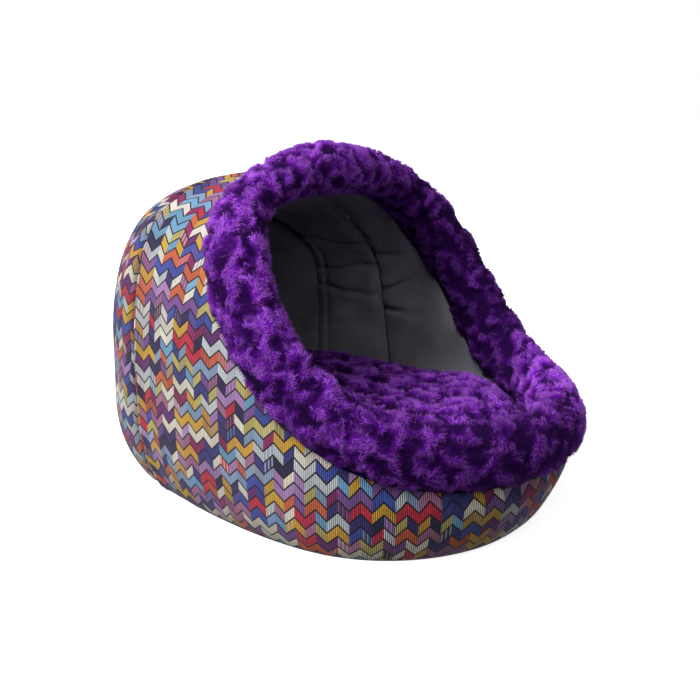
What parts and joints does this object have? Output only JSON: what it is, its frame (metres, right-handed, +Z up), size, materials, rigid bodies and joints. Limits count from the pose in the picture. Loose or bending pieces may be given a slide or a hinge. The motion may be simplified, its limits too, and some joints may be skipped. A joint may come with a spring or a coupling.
{
  "type": "hooded plush pet bed",
  "caption": "Hooded pet bed: a padded cloth wall rises from a low front lip to an arched roof, with a plush rim round its opening and a filled plush cushion inside.",
  "frame": {"origin": "on the floor under the middle of the bed's outer box", "axes": "+Z up, -Y towards the low front, +X to the right seen from the front"},
  "size_m": [0.3834, 0.4986, 0.3383],
  "materials": {
    "zigzag_cloth": "woven zigzag cloth in many colours",
    "plush": "purple rosette plush",
    "lining_cloth": "charcoal plain weave, quilted",
    "base_cloth": "dark grey plain weave"
  },
  "bodies": {
    "root": {"base_panel": "base_cloth", "outer_back": "zigzag_cloth", "outer_wrap": "zigzag_cloth", "lining_back": "lining_cloth", "lining_middle": "lining_cloth", "lining_front": "lining_cloth", "rim": "plush", "cushion": "plush"}
  },
  "joints": []
}
